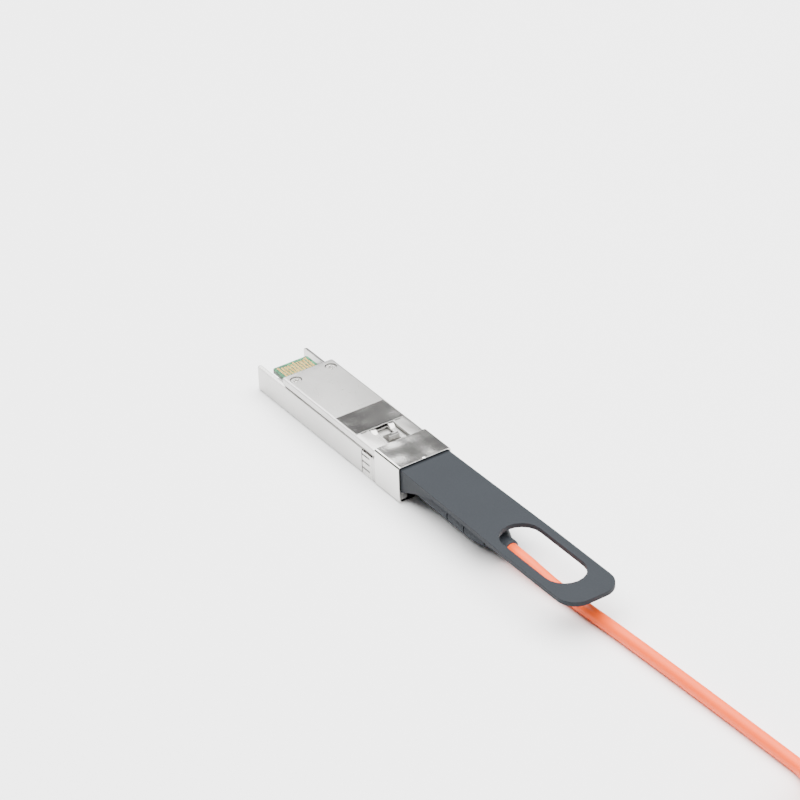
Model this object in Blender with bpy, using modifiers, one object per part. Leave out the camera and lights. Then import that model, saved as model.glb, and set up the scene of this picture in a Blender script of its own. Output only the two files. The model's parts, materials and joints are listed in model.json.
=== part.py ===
"""A pluggable optical transceiver with a pull tab, on a fibre cable that ends in a second transceiver.

Each transceiver is built in its own frame: Y = 0 is the rim of its nose, +Y runs in to the edge
connector, -Y runs out along the pull tab and the cable, and Z = 0 is the label side, on which it
lies. The near transceiver hangs on an empty that puts the middle of its footprint at the world's
origin. The far one hangs on an empty that turns it half round, in line past the folded cable.
"""

import math

import bmesh
import bpy
from mathutils import Matrix, Vector

MM = 0.001

# Clearances
GAP = 0.3 * MM  # between fixed neighbours
SLIDING_GAP = 0.15 * MM  # on each side of a sliding piece
SEAT_GAP = 0.06 * MM  # between a chip or a pad and what it is bonded to
INSET = 0.05 * MM  # keeps the faces of joined shapes off each other's planes

# Housing
BODY_WIDTH = 13.4 * MM
BODY_HEIGHT = 8.5 * MM
BODY_LENGTH = 56.5 * MM  # from the nose rim to the rear edge
BODY_CORNER = 0.5 * MM
WALL = 0.9 * MM
COVER_THICKNESS = 1.9 * MM
COVER_END = 46.1 * MM  # the latch side is open behind this, for the host connector

# Nose sleeve
SLEEVE_PROUD = 0.15 * MM  # beyond each side of the body
SLEEVE_RISE = 0.6 * MM  # above the body
SLEEVE_LENGTH = 9.3 * MM
SLEEVE_SHEET = 0.35 * MM
SLEEVE_CORNER = 0.6 * MM
PRONG_TOP = 2.4 * MM  # the housing's two prongs in the nose, beside the boot
ANCHOR_START = 5.0 * MM  # the wall that holds the boot

# Strain relief boot
BOOT_AXIS_Z = 3.75 * MM
BOOT_DROOP = 0.65 * MM  # how much lower the boot ends
BOOT_HALF_WIDTH = 4.3 * MM
BOOT_HALF_HEIGHT = 3.05 * MM
BOOT_COLLAR = 19.0 * MM  # straight stretch outside the nose
BOOT_REACH = 31.5 * MM
BOOT_END_RADIUS = 1.95 * MM
BOOT_TIP = 2.5 * MM  # straight stretch at its end
BOOT_TAPER = 2.5  # above 1, it narrows slowly at first
BOOT_SLIT_START = 14.1 * MM
BOOT_SLITS = 5
BOOT_SLIT_PITCH = 3.0 * MM
BOOT_SLIT = 0.4 * MM
BOOT_SPINE = 1.2 * MM  # half of what a slit leaves in the middle
BOOT_NECK_WIDTH = 2.2 * MM  # half widths and half heights of the neck and the flange inside
BOOT_NECK_HEIGHT = 1.5 * MM
BOOT_FLANGE_WIDTH = 2.9 * MM
BOOT_FLANGE_HEIGHT = 1.9 * MM
BOOT_FLANGE = 1.2 * MM
ANCHOR_WALL = 0.9 * MM

# Pull tab
TAB_REACH = 61.3 * MM  # from the nose rim to the end of the loop
TAB_INSERT = 3.6 * MM  # how far its base goes into the nose
TAB_THICKNESS = 1.1 * MM
TAB_DROP = 0.25 * MM  # from the sleeve's inner top to the tab's top
LOOP_WIDTH = 13.7 * MM
LOOP_CORNER = 4.6 * MM
LOOP_SHOULDER = 38.0 * MM  # the tab reaches its loop width here
FINGER_HOLE_WIDTH = 9.5 * MM
FINGER_HOLE_START = 30.4 * MM
FINGER_HOLE_END = 54.7 * MM
SKIRT_LENGTH = 12.5 * MM  # the base's sides fade out here
SKIRT_CURVE = 1.35  # how much faster they rise at first
TAB_EDGE = 0.25 * MM

# Release slide
SLIDE_SHEET = 0.4 * MM
SLIDE_TRAVEL = 2.5 * MM
SLIDE_NOSE_WIDTH = 9.0 * MM
SLIDE_TONGUE = 3.0 * MM  # held inside the tab's base
ACTUATOR_CAVITY = 6.3 * MM  # width of the channel that the tines run in
CHANNEL_DEPTH = 1.3 * MM
TINE_WIDTH = 1.4 * MM
RAMP_LENGTH = 1.6 * MM
RAMP_HEIGHT = 0.65 * MM

# Latch boss on the cover
BOSS_SHOULDER = 11.5 * MM  # from the nose rim to the face that holds the module in
BOSS_LENGTH = 2.6 * MM
BOSS_WIDTH = 2.6 * MM
BOSS_RISE = 0.45 * MM

# Return springs and the plate over them
SPRING_LENGTH = 5.8 * MM
SPRING_RADIUS = 0.48 * MM  # to the middle of the wire
SPRING_WIRE = 0.12 * MM  # the wire's radius
SPRING_TURNS = 7
SPRING_X = 4.4 * MM
SPRING_START = 16.6 * MM
SPRING_POCKET_FLOOR = 0.35 * MM
RETAINER_SHEET = 0.2 * MM
EAR = 0.6 * MM

# Circuit board and optics
BOARD_THICKNESS = 1.0 * MM
BOARD_DROP = 2.25 * MM  # from the latch side to the board
BOARD_WIDTH = 10.8 * MM
BOARD_START = 17.2 * MM
BOARD_END = 53.3 * MM
CARD_EDGE_WIDTH = 9.2 * MM
CARD_EDGE_START = 45.8 * MM
LENS_START = 25.0 * MM
LENS_LENGTH = 5.0 * MM
LENS_WIDTH = 6.4 * MM
LENS_HEIGHT = 2.3 * MM
CHIP = 0.8 * MM
CHIP_HEIGHT = 0.25 * MM
CHIP_X = 1.2 * MM
FERRULE_LENGTH = 4.2 * MM
FERRULE_WIDTH = 5.4 * MM
FERRULE_HEIGHT = 1.9 * MM
CLIP_SHEET = 0.25 * MM
DRIVER_SIZE = 5.0 * MM
DRIVER_HEIGHT = 0.9 * MM
DRIVER_Y = 35.6 * MM
CONTROLLER_SIZE = 3.0 * MM
CONTROLLER_HEIGHT = 0.8 * MM
CONTROLLER_Y = 41.2 * MM
THERMAL_PAD = 1.2 * MM
FIBRE = 0.45 * MM  # buffered fibre's radius
FIBRE_SPREAD = 1.0 * MM
CRIMP_RADIUS = 1.75 * MM
CRIMP_LENGTH = 3.0 * MM

# Fasteners and trim
SCREW_X = 4.6 * MM
SCREW_Y = 43.4 * MM
SCREW_HEAD = 1.2 * MM
SCREW_SHANK = 0.7 * MM
SCREW_HEAD_HEIGHT = 0.8 * MM
SCREW_LENGTH = 5.4 * MM
POST_RADIUS = 1.35 * MM
COLLAR_START = 10.6 * MM
COLLAR_WIDTH = 4.0 * MM
COLLAR_DEPTH = 0.45 * MM
COLLAR_SHEET = 0.2 * MM
FINGER_PITCH = 1.7 * MM
FINGER_SLOT = 0.35 * MM
LABEL_LENGTH = 24.0 * MM
LABEL_WIDTH = 10.4 * MM
LABEL_START = 20.0 * MM
LABEL_RECESS = 0.25 * MM
LABEL_SHEET = 0.12 * MM

# Cable: the points of its run on the floor, as offsets from the middle of the boot's end
CABLE_RADIUS = 1.5 * MM
CABLE_RUN = [
    (0.0, -0.3, 3.1),
    (0.02, -5.5, 2.97),
    (0.1, -9.0, 2.62),
    (0.35, -13.5, 2.05),
    (0.75, -18.5, 1.64),
    (1.15, -24.5, 1.5),
    (1.6, -33.5, 1.5),
    (2.05, -44.5, 1.5),
    (2.45, -56.5, 1.5),
    (2.8, -68.5, 1.5),
    (3.1, -79.5, 1.5),
    (3.25, -86.0, 1.5),
    (3.3, -89.5, 1.5),
    (2.83, -92.5, 1.53),
    (2.04, -94.5, 1.58),
    (1.28, -96.0, 1.62),
]
FAR_CABLE_RUN = [
    (0.0, -0.3, 3.1),
    (0.0, -7.3, 4.0),
    (0.0, -10.8, 5.55),
    (0.0, -14.2, 7.35),
    (0.06, -17.7, 9.0),
    (0.9, -21.8, 10.1),
    (2.35, -25.2, 10.22),
    (4.3, -28.7, 10.6),
    (6.35, -31.9, 11.2),
]

# Folded cable and the far end
HANK_LENGTH = 52.7 * MM
HANK_WIDTH = 27.5 * MM
HANK_LAYERS = 5
HANK_LAYER_PITCH = 3.05 * MM
HANK_START = 128.0 * MM  # from the near nose rim to the near end of the fold
HANK_X = 6.2 * MM
HANK_LIFT = 0.55 * MM  # the tie's band is under it
TIE_WIDTH = 8.0 * MM
TIE_BAND = 0.4 * MM
TIE_GAP = 0.1 * MM
FAR_GAP = 3.0 * MM  # between the fold and the far tab's loop
FAR_X = 6.2 * MM


# ---------------------------------------------------------------- places worked out from the sizes

SLEEVE_WIDTH = BODY_WIDTH + 2 * SLEEVE_PROUD
SLEEVE_HEIGHT = BODY_HEIGHT + SLEEVE_RISE
SLEEVE_INNER = SLEEVE_WIDTH / 2 - SLEEVE_SHEET
NOSE_HALF = SLEEVE_INNER - GAP
NOSE_FLOOR = SLEEVE_SHEET + GAP
BODY_FRONT = SLEEVE_LENGTH + GAP
INNER_HALF = BODY_WIDTH / 2 - WALL
COVER_BOTTOM = BODY_HEIGHT - COVER_THICKNESS
TUB_TOP = COVER_BOTTOM - GAP
CHANNEL_FLOOR = BODY_HEIGHT - CHANNEL_DEPTH
SLIDE_BOTTOM = CHANNEL_FLOOR + SLIDING_GAP
SLIDE_TOP = SLIDE_BOTTOM + SLIDE_SHEET
TAB_TOP = SLEEVE_HEIGHT - SLEEVE_SHEET - TAB_DROP
TAB_BOTTOM = TAB_TOP - TAB_THICKNESS
TAB_HALF = SLEEVE_INNER - SLIDING_GAP
SKIRT_BOTTOM = PRONG_TOP + GAP
ANCHOR_TOP = TUB_TOP - INSET
BOOT_CHANNEL = BOOT_HALF_WIDTH + GAP
FLANGE_START = ANCHOR_START + ANCHOR_WALL + SEAT_GAP
FLANGE_END = FLANGE_START + BOOT_FLANGE
POCKET_HALF = BOOT_FLANGE_WIDTH + GAP
POCKET_FLOOR = BOOT_AXIS_Z - BOOT_FLANGE_HEIGHT - GAP
ANCHOR_END = BODY_FRONT + WALL
CRIMP_START = FLANGE_END + GAP
CRIMP_END = CRIMP_START + CRIMP_LENGTH
BOARD_TOP = BODY_HEIGHT - BOARD_DROP
BOARD_BOTTOM = BOARD_TOP - BOARD_THICKNESS
SPRING_OUTER = SPRING_RADIUS + SPRING_WIRE
SPRING_POCKET_BOTTOM = COVER_BOTTOM + SPRING_POCKET_FLOOR
SPRING_Z = SPRING_POCKET_BOTTOM + SPRING_OUTER + SEAT_GAP
SPRING_END = SPRING_START + SPRING_LENGTH
POCKET_START = SPRING_START - SEAT_GAP
EAR_START = SPRING_END + SEAT_GAP
EAR_END = EAR_START + EAR
BAR_START = BOSS_SHOULDER + BOSS_LENGTH + SLIDING_GAP + SLIDE_TRAVEL
CHANNEL_END = EAR_END + GAP
RETAINER_TOP = BODY_HEIGHT - SEAT_GAP
RETAINER_BOTTOM = RETAINER_TOP - RETAINER_SHEET
LENS_TOP = BOARD_BOTTOM - SEAT_GAP
LENS_BOTTOM = LENS_TOP - LENS_HEIGHT
FERRULE_END = LENS_START - SEAT_GAP
FERRULE_START = FERRULE_END - FERRULE_LENGTH
FERRULE_Z = LENS_TOP - LENS_HEIGHT / 2
DRIVER_BOTTOM = BOARD_BOTTOM - SEAT_GAP - DRIVER_HEIGHT
PAD_TOP = DRIVER_BOTTOM - SEAT_GAP
PAD_BOTTOM = PAD_TOP - THERMAL_PAD
CENTRE_Y = (BODY_LENGTH - TAB_REACH) / 2
HANK_END = HANK_START + HANK_LENGTH
HANK_TOP = HANK_LIFT + (HANK_LAYERS - 1) * HANK_LAYER_PITCH + 2 * CABLE_RADIUS
FAR_NOSE = HANK_END + FAR_GAP + TAB_REACH


# ---------------------------------------------------------------- scene, materials and tools

for leftover in list(bpy.data.objects):
    bpy.data.objects.remove(leftover)

parts = bpy.data.collections.new("Optical transceiver")
cutters = bpy.data.collections.new("Cutters")
for collection in (parts, cutters):
    bpy.context.scene.collection.children.link(collection)


def material(name, colour, roughness, metallic=0.0):
    made = bpy.data.materials.new(name)
    made.use_nodes = True
    shader = made.node_tree.nodes["Principled BSDF"]
    shader.inputs["Base Color"].default_value = (*colour, 1.0)
    shader.inputs["Roughness"].default_value = roughness
    shader.inputs["Metallic"].default_value = metallic
    made.diffuse_color = (*colour, 1.0)
    return made


NICKEL = material("bright nickel", (0.78, 0.77, 0.74), 0.12, 1.0)
CAST_NICKEL = material("cast nickel", (0.66, 0.65, 0.62), 0.3, 1.0)
SPRING_STEEL = material("spring steel", (0.6, 0.59, 0.57), 0.25, 1.0)
SLATE = material("slate plastic", (0.105, 0.122, 0.145), 0.55)
BOOT_RUBBER = material("boot rubber", (0.07, 0.08, 0.095), 0.65)
ORANGE = material("orange jacket", (1.0, 0.28, 0.11), 0.45)
BOARD_GREEN = material("board green", (0.02, 0.12, 0.05), 0.4)
CHIP_BLACK = material("chip black", (0.02, 0.02, 0.022), 0.5)
GOLD = material("gold", (0.95, 0.68, 0.28), 0.25, 1.0)
AMBER = material("amber optic", (0.75, 0.35, 0.06), 0.2)
FIBRE_WHITE = material("fibre buffer", (0.8, 0.8, 0.78), 0.4)
PAD_GREY = material("thermal pad", (0.45, 0.5, 0.55), 0.9)
LABEL_WHITE = material("label", (0.85, 0.85, 0.83), 0.6)
TIE_BLACK = material("tie", (0.03, 0.03, 0.035), 0.8)


def place(name, mesh, finish, parent, tool=False):
    """An object for the mesh: a part, or a cutter that renders don't show."""
    made = bpy.data.objects.new(name, mesh)
    (cutters if tool else parts).objects.link(made)
    made.parent = parent
    if finish:
        mesh.materials.append(finish)
    if tool:
        made.hide_render = True
        made.display_type = "WIRE"
    return made


def mesh_from(name, build):
    mesh = bpy.data.meshes.new(name)
    working = bmesh.new()
    build(working)
    bmesh.ops.recalc_face_normals(working, faces=working.faces)
    working.to_mesh(mesh)
    working.free()
    return mesh


def block(name, x, y, z, finish=None, parent=None, tool=False):
    """A box between two corners, each axis given as (low, high)."""
    spans = [high - low for low, high in (x, y, z)]

    def build(working):
        bmesh.ops.create_cube(working, size=1.0)
        bmesh.ops.scale(working, vec=spans, verts=working.verts)

    made = place(name, mesh_from(name, build), finish, parent, tool)
    made.location = [(low + high) / 2 for low, high in (x, y, z)]
    return made


def cylinder(name, radius, centre, length, axis="Y", sides=24, finish=None, parent=None, tool=False):
    """A cylinder centred on a point, along Y or Z."""

    def build(working):
        bmesh.ops.create_cone(
            working, cap_ends=True, segments=sides, radius1=radius, radius2=radius, depth=length
        )

    made = place(name, mesh_from(name, build), finish, parent, tool)
    made.location = centre
    if axis == "Y":
        made.rotation_euler = (math.pi / 2, 0, 0)
    return made


def turned(name, profile, finish, parent, steps=20):
    """A solid turned about local Z from the (radius, height) corners of half its section, in order."""

    def build(working):
        rows = []
        for r, h in profile:
            count = steps if r > 0 else 1
            turn = [2 * math.pi * i / steps for i in range(count)]
            rows.append([working.verts.new((r * math.cos(a), r * math.sin(a), h)) for a in turn])
        for first, second in zip(rows, rows[1:] + rows[:1]):
            for i in range(steps if len(first) + len(second) > 2 else 0):
                j = (i + 1) % steps
                a, b = i % len(first), j % len(first)
                c, d = i % len(second), j % len(second)
                ring = [first[a], first[b], second[d], second[c]]
                working.faces.new(list(dict.fromkeys(ring)))

    return place(name, mesh_from(name, build), finish, parent)


def prism(name, outline, low, high, across="Z", finish=None, parent=None, tool=False):
    """A flat outline given a thickness. Across Z its points are (x, y), and across X they are (y, z)."""
    half = (high - low) / 2

    def build(working):
        base = working.faces.new([working.verts.new((u, v, -half)) for u, v in outline])
        grown = bmesh.ops.extrude_face_region(working, geom=[base])
        raised = [item for item in grown["geom"] if isinstance(item, bmesh.types.BMVert)]
        bmesh.ops.translate(working, vec=(0, 0, 2 * half), verts=raised)

    made = place(name, mesh_from(name, build), finish, parent, tool)
    middle = (low + high) / 2
    if across == "X":
        made.matrix_basis = Matrix(((0, 0, 1, middle), (1, 0, 0, 0), (0, 1, 0, 0), (0, 0, 0, 1)))
    else:
        made.location.z = middle
    return made


def loft(name, rings, finish, parent):
    """A closed skin over rings of equal count, with flat ends."""

    def build(working):
        rows = [[working.verts.new(point) for point in ring] for ring in rings]
        for first, second in zip(rows, rows[1:]):
            for i in range(len(first)):
                j = (i + 1) % len(first)
                working.faces.new((first[i], first[j], second[j], second[i]))
        working.faces.new(rows[0])
        working.faces.new(rows[-1])

    return place(name, mesh_from(name, build), finish, parent)


def wire(name, points, radius, finish, parent, resolution=2):
    """A round wire or cord through the points."""
    curve = bpy.data.curves.new(name, "CURVE")
    curve.dimensions = "3D"
    curve.bevel_depth = radius
    curve.bevel_resolution = resolution
    curve.use_fill_caps = True
    spline = curve.splines.new("POLY")
    spline.points.add(len(points) - 1)
    for point, position in zip(spline.points, points):
        point.co = (*position, 1)
    made = bpy.data.objects.new(name, curve)
    parts.objects.link(made)
    made.parent = parent
    curve.materials.append(finish)
    return made


def boolean(part, tool, operation):
    made = part.modifiers.new(tool.name, "BOOLEAN")
    made.operation = operation
    made.object = tool


def cut(part, *tools):
    for tool in tools:
        boolean(part, tool, "DIFFERENCE")


def fuse(part, *tools):
    for tool in tools:
        boolean(part, tool, "UNION")


def soften(part, width, segments=2, angle=40):
    """Rounds the sharp edges that the part has so far."""
    made = part.modifiers.new("Edges", "BEVEL")
    made.width = width
    made.segments = segments
    made.limit_method = "ANGLE"
    made.angle_limit = math.radians(angle)
    made.harden_normals = False


def arc(centre, radius, start, end, steps):
    """Points on an arc, in degrees, both ends included."""
    angles = [math.radians(start + (end - start) * i / steps) for i in range(steps + 1)]
    return [(centre[0] + radius * math.cos(a), centre[1] + radius * math.sin(a)) for a in angles]


def slot_outline(half_width, y_low, y_high, steps=10):
    """A slot with round ends, along Y."""
    low_end = arc((0, y_low + half_width), half_width, 180, 360, steps)
    high_end = arc((0, y_high - half_width), half_width, 0, 180, steps)
    return low_end + high_end


def empty(name, location, turn=0.0, parent=None):
    made = bpy.data.objects.new(name, None)
    parts.objects.link(made)
    made.location = location
    made.rotation_euler = (0, 0, turn)
    made.parent = parent
    return made


# ---------------------------------------------------------------- housing


def lower_housing(prefix, end):
    """The cast tub on the label side, with the anchor for the boot and two prongs inside the nose."""
    tub = block(
        prefix + "lower_housing",
        (-BODY_WIDTH / 2, BODY_WIDTH / 2),
        (BODY_FRONT, BODY_LENGTH),
        (0, TUB_TOP),
        CAST_NICKEL,
        end,
    )
    soften(tub, BODY_CORNER)
    anchor = block(
        "anchor",
        (-NOSE_HALF, NOSE_HALF),
        (ANCHOR_START, ANCHOR_END),
        (NOSE_FLOOR, ANCHOR_TOP),
        None,
        end,
        True,
    )
    floor = block(
        "prongs",
        (-NOSE_HALF, NOSE_HALF),
        (GAP, ANCHOR_START + WALL),
        (NOSE_FLOOR, PRONG_TOP),
        None,
        end,
        True,
    )
    fuse(tub, anchor, floor)
    inside = block(
        "inside",
        (-INNER_HALF, INNER_HALF),
        (ANCHOR_END, BODY_LENGTH + WALL),
        (WALL, BODY_HEIGHT),
        None,
        end,
        True,
    )
    boot_way = block(
        "boot way",
        (-BOOT_CHANNEL, BOOT_CHANNEL),
        (-WALL, ANCHOR_START),
        (0, BODY_HEIGHT),
        None,
        end,
        True,
    )
    neck_way = block(
        "neck way",
        (-BOOT_NECK_WIDTH - GAP, BOOT_NECK_WIDTH + GAP),
        (0, ANCHOR_START + 2 * WALL),
        (BOOT_AXIS_Z - BOOT_NECK_HEIGHT - GAP, BODY_HEIGHT),
        None,
        end,
        True,
    )
    pocket = block(
        "flange pocket",
        (-POCKET_HALF, POCKET_HALF),
        (ANCHOR_START + ANCHOR_WALL, ANCHOR_END + WALL),
        (POCKET_FLOOR, BODY_HEIGHT),
        None,
        end,
        True,
    )
    cut(tub, inside, boot_way, neck_way, pocket)
    pedestal = block(
        "pedestal",
        (-DRIVER_SIZE / 2, DRIVER_SIZE / 2),
        (DRIVER_Y - DRIVER_SIZE / 2, DRIVER_Y + DRIVER_SIZE / 2),
        (WALL / 2, PAD_BOTTOM - SEAT_GAP),
        None,
        end,
        True,
    )
    fuse(tub, pedestal)
    post_top = BOARD_BOTTOM - GAP
    for side in (-1, 1):
        rear = cylinder(
            "screw post",
            POST_RADIUS,
            (side * SCREW_X, SCREW_Y, (post_top + WALL / 2) / 2),
            post_top - WALL / 2,
            "Z",
            20,
            None,
            end,
            True,
        )
        front = block(
            "board rest",
            sorted((side * (BOARD_WIDTH / 2 - WALL), side * (INNER_HALF + WALL / 2))),
            (BOARD_START, BOARD_START + 2 * WALL),
            (WALL / 2, post_top),
            None,
            end,
            True,
        )
        fuse(tub, rear, front)
    for side in (-1, 1):
        depth = SCREW_LENGTH
        thread = cylinder(
            "screw hole",
            SCREW_SHANK + SLIDING_GAP,
            (side * SCREW_X, SCREW_Y, BODY_HEIGHT - SCREW_LENGTH / 2 - 2 * GAP),
            depth,
            "Z",
            16,
            None,
            end,
            True,
        )
        cut(tub, thread)
    groove = collar_band("collar groove", COLLAR_DEPTH, end)
    label_recess = block(
        "label recess",
        (-LABEL_WIDTH / 2 - GAP / 2, LABEL_WIDTH / 2 + GAP / 2),
        (LABEL_START - GAP / 2, LABEL_START + LABEL_LENGTH + GAP / 2),
        (-WALL, LABEL_RECESS),
        None,
        end,
        True,
    )
    cut(tub, groove, label_recess)
    return tub


def u_outline(half_width, floor, top, thickness):
    """A channel section open at the top, as (x, z) points."""
    inner = half_width - thickness
    return [
        (-half_width, top),
        (-half_width, floor),
        (half_width, floor),
        (half_width, top),
        (inner, top),
        (inner, floor + thickness),
        (-inner, floor + thickness),
        (-inner, top),
    ]


def channel(name, half_width, floor, top, thickness, y_low, y_high, finish, end, tool):
    """A U channel along Y."""
    outline = u_outline(half_width, floor, top, thickness)
    made = prism(name, outline, -y_high, -y_low, "Z", finish, end, tool)
    # The outline's (x, z) plane stands up, with its thickness along -Y.
    made.matrix_basis = Matrix.Rotation(math.pi / 2, 4, "X") @ made.matrix_basis
    return made


def collar_band(name, depth, end):
    """What the contact collar's groove takes off the bottom and the sides of the tub."""
    margin = WALL
    return channel(
        name,
        BODY_WIDTH / 2 + margin,
        -margin,
        TUB_TOP + margin,
        margin + depth,
        COLLAR_START,
        COLLAR_START + COLLAR_WIDTH,
        None,
        end,
        True,
    )


def contact_collar(prefix, end):
    """The sprung contact strip round the bottom and the sides, slotted into fingers."""
    outer = BODY_WIDTH / 2 - SEAT_GAP
    collar = channel(
        prefix + "contact_collar",
        outer,
        SEAT_GAP,
        TUB_TOP - GAP,
        COLLAR_SHEET,
        COLLAR_START + GAP / 2,
        COLLAR_START + COLLAR_WIDTH - GAP / 2,
        SPRING_STEEL,
        end,
        False,
    )
    slot_y = (COLLAR_START + COLLAR_WIDTH / 4, COLLAR_START + COLLAR_WIDTH + WALL)
    across = int((outer - 2 * FINGER_SLOT) / FINGER_PITCH)
    for i in range(-across, across + 1):
        x = i * FINGER_PITCH
        slot_x = (x - FINGER_SLOT / 2, x + FINGER_SLOT / 2)
        cut(collar, block("finger slot", slot_x, slot_y, (-WALL, WALL), None, end, True))
    up = int((TUB_TOP - 2 * GAP) / FINGER_PITCH)
    for i in range(1, up + 1):
        z = i * FINGER_PITCH
        slot_z = (z - FINGER_SLOT / 2, z + FINGER_SLOT / 2)
        cut(collar, block("finger slot", (-2 * outer, 2 * outer), slot_y, slot_z, None, end, True))
    return collar


def latch_cover(prefix, end):
    """The cover on the latch side, with the latch boss, the actuator channel and the spring pockets."""
    cover = block(
        prefix + "latch_cover",
        (-BODY_WIDTH / 2, BODY_WIDTH / 2),
        (BODY_FRONT, COVER_END),
        (COVER_BOTTOM, BODY_HEIGHT),
        CAST_NICKEL,
        end,
    )
    soften(cover, BODY_CORNER)
    half_channel = ACTUATOR_CAVITY / 2
    above = BODY_HEIGHT + WALL
    cut(
        cover,
        block(
            "actuator channel",
            (-half_channel, half_channel),
            (0, EAR_START),
            (CHANNEL_FLOOR, above),
            None,
            end,
            True,
        ),
        block(
            "ear way",
            (-SPRING_X - SPRING_OUTER - 2 * SLIDING_GAP, SPRING_X + SPRING_OUTER + 2 * SLIDING_GAP),
            (EAR_START - SLIDE_TRAVEL - GAP, CHANNEL_END),
            (CHANNEL_FLOOR - INSET, above),
            None,
            end,
            True,
        ),
        block(
            "retainer seat",
            (-BODY_WIDTH / 2 + WALL / 2, BODY_WIDTH / 2 - WALL / 2),
            (POCKET_START + GAP, CHANNEL_END + 2 * WALL),
            (RETAINER_BOTTOM - SEAT_GAP, above),
            None,
            end,
            True,
        ),
    )
    for side in (-1, 1):
        pocket_x = [side * SPRING_X + way * (SPRING_OUTER + SLIDING_GAP) for way in (-1, 1)]
        cut(
            cover,
            block(
                "spring pocket",
                pocket_x,
                (POCKET_START, CHANNEL_END - INSET),
                (SPRING_POCKET_BOTTOM, above),
                None,
                end,
                True,
            ),
            cylinder(
                "screw way",
                SCREW_SHANK + GAP,
                (side * SCREW_X, SCREW_Y, BODY_HEIGHT),
                2 * BODY_HEIGHT,
                "Z",
                16,
                None,
                end,
                True,
            ),
            cylinder(
                "screw seat",
                SCREW_HEAD + SLIDING_GAP,
                (side * SCREW_X, SCREW_Y, BODY_HEIGHT),
                2 * (SCREW_HEAD_HEIGHT + 2 * SEAT_GAP + GAP),
                "Z",
                20,
                None,
                end,
                True,
            ),
        )
    boss_top = BODY_HEIGHT + BOSS_RISE
    boss = prism(
        "latch boss",
        [
            (BOSS_SHOULDER, CHANNEL_FLOOR - GAP),
            (BOSS_SHOULDER + BOSS_LENGTH, CHANNEL_FLOOR - GAP),
            (BOSS_SHOULDER + BOSS_LENGTH, SLIDE_TOP),
            (BOSS_SHOULDER + BOSS_LENGTH / 4, boss_top),
            (BOSS_SHOULDER, boss_top),
        ],
        -BOSS_WIDTH / 2,
        BOSS_WIDTH / 2,
        "X",
        None,
        end,
        True,
    )
    fuse(cover, boss)
    return cover


def nose_sleeve(prefix, end):
    """The bright sheet sleeve round the nose: four walls, open at both ends."""
    half_sheet = SLEEVE_SHEET / 2

    def build(working):
        bmesh.ops.create_cube(working, size=1.0)
        ends = [face for face in working.faces if abs(face.normal.y) > 0.5]
        bmesh.ops.delete(working, geom=ends, context="FACES_ONLY")
        size = (SLEEVE_WIDTH - 2 * half_sheet, SLEEVE_LENGTH, SLEEVE_HEIGHT - 2 * half_sheet)
        bmesh.ops.scale(working, vec=size, verts=working.verts)

    name = prefix + "nose_sleeve"
    sleeve = place(name, mesh_from(name, build), NICKEL, end)
    sleeve.location = (0, SLEEVE_LENGTH / 2, SLEEVE_HEIGHT / 2)
    corners = sleeve.modifiers.new("Corners", "BEVEL")
    corners.width = SLEEVE_CORNER - half_sheet
    corners.segments = 4
    walls = sleeve.modifiers.new("Sheet", "SOLIDIFY")
    walls.thickness = SLEEVE_SHEET
    walls.offset = 0
    walls.use_even_offset = True
    return sleeve


# ---------------------------------------------------------------- pull tab, slide and springs


def tab_outline():
    """The tab's plan, from its end inside the nose to the loop and back."""
    half_loop = LOOP_WIDTH / 2
    corner_y = -TAB_REACH + LOOP_CORNER
    left = arc((-half_loop + LOOP_CORNER, corner_y), LOOP_CORNER, 180, 270, 8)
    right = arc((half_loop - LOOP_CORNER, corner_y), LOOP_CORNER, 270, 360, 8)
    return (
        [(-TAB_HALF, TAB_INSERT), (-TAB_HALF, 0), (-half_loop, -LOOP_SHOULDER)]
        + left
        + right
        + [(half_loop, -LOOP_SHOULDER), (TAB_HALF, 0), (TAB_HALF, TAB_INSERT)]
    )


def skirt_outline():
    """The side of the tab's base as (y, z): deep in the nose, fading into the plate outside it."""
    inside_plate = TAB_TOP - TAB_THICKNESS / 2
    rise = TAB_BOTTOM - SKIRT_BOTTOM
    shares = (0.08, 0.24, 0.44, 0.68, 1.0)
    lower = [(-SKIRT_LENGTH * t, SKIRT_BOTTOM + rise * (1 - (1 - t) ** SKIRT_CURVE)) for t in shares]
    return [(TAB_INSERT, inside_plate), (TAB_INSERT, SKIRT_BOTTOM), (0, SKIRT_BOTTOM)] + lower + [
        (-SKIRT_LENGTH, inside_plate)
    ]


def pull_tab(prefix, slider):
    """The moulded tab: a plate with a finger loop, and a base that straddles the boot."""
    tab = prism(prefix + "pull_tab", tab_outline(), TAB_BOTTOM, TAB_TOP, "Z", SLATE, slider)
    base = prism("tab base", skirt_outline(), -TAB_HALF, TAB_HALF, "X", None, slider, True)
    fuse(tab, base)
    way = BOOT_CHANNEL + GAP
    middle = (0, 0, BOOT_AXIS_Z)
    boot_way = cylinder("tab channel", 1.0, middle, 4 * SKIRT_LENGTH, "Y", 28, None, slider, True)
    boot_way.scale = (way, BOOT_HALF_HEIGHT + 2 * GAP, 1)
    below = block(
        "tab channel mouth",
        (-way, way),
        (-2 * SKIRT_LENGTH, 2 * TAB_INSERT),
        (-WALL, BOOT_AXIS_Z),
        None,
        slider,
        True,
    )
    hole = prism(
        "finger hole",
        slot_outline(FINGER_HOLE_WIDTH / 2, -FINGER_HOLE_END, -FINGER_HOLE_START),
        TAB_BOTTOM - WALL,
        TAB_TOP + WALL,
        "Z",
        None,
        slider,
        True,
    )
    tongue = block(
        "tongue slot",
        (-SLIDE_NOSE_WIDTH / 2 - SEAT_GAP, SLIDE_NOSE_WIDTH / 2 + SEAT_GAP),
        (TAB_INSERT - SLIDE_TONGUE - SEAT_GAP, TAB_INSERT + WALL),
        (SLIDE_BOTTOM - SEAT_GAP, SLIDE_TOP + SEAT_GAP),
        None,
        slider,
        True,
    )
    cut(tab, boot_way, below, hole, tongue)
    return tab


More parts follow.
